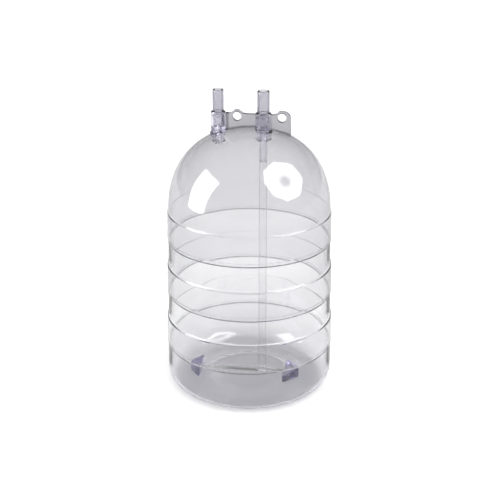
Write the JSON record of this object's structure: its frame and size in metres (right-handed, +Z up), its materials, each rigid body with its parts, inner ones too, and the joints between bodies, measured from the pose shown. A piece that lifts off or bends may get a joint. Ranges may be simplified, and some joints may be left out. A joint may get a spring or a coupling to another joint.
{
  "type": "large water jug",
  "caption": "Large clear domed water jug with stepped ring bands, hose stems in sockets on top, a hanging rail with eyes, and a dip tube to the floor.",
  "frame": {"origin": "centre of the foot ring on the surface that the jug stands on", "axes": "+Z up along the vessel's axis, +X along the row of stems towards the larger one, +Y towards the hanging rail"},
  "size_m": [0.2617, 0.2618, 0.4743],
  "materials": {
    "clear_tint": "clear, faintly violet-grey, glossy",
    "deep_tint": "clear thick moulding, deeper violet, glossy",
    "light_tint": "clear thin tube and strip, glossy",
    "rubber": "matt dark seal"
  },
  "bodies": {
    "jug": {"dome_cap": "clear_tint", "upper_barrel": "clear_tint", "lower_barrel": "clear_tint", "base_cup": "clear_tint", "hanging_rail": "deep_tint", "left_socket": "deep_tint", "right_socket": "deep_tint", "left_nut": "deep_tint", "right_nut": "deep_tint", "left_lug": "deep_tint", "right_lug": "deep_tint", "dip_tube": "light_tint", "foot_bar": "light_tint", "lower_seal": "rubber", "middle_seal": "rubber", "upper_seal": "rubber", "left_stem_seal": "rubber", "right_stem_seal": "rubber"},
    "left_stem": {"left_stem": "light_tint"},
    "right_stem": {"right_stem": "light_tint"}
  },
  "joints": [
    {"name": "left_stem_pull", "type": "slide", "parent": "jug", "child": "left_stem", "axis": [0, 0, 1], "range_m": [0, 0.03]},
    {"name": "right_stem_pull", "type": "slide", "parent": "jug", "child": "right_stem", "axis": [0, 0, 1], "range_m": [0, 0.03]}
  ]
}
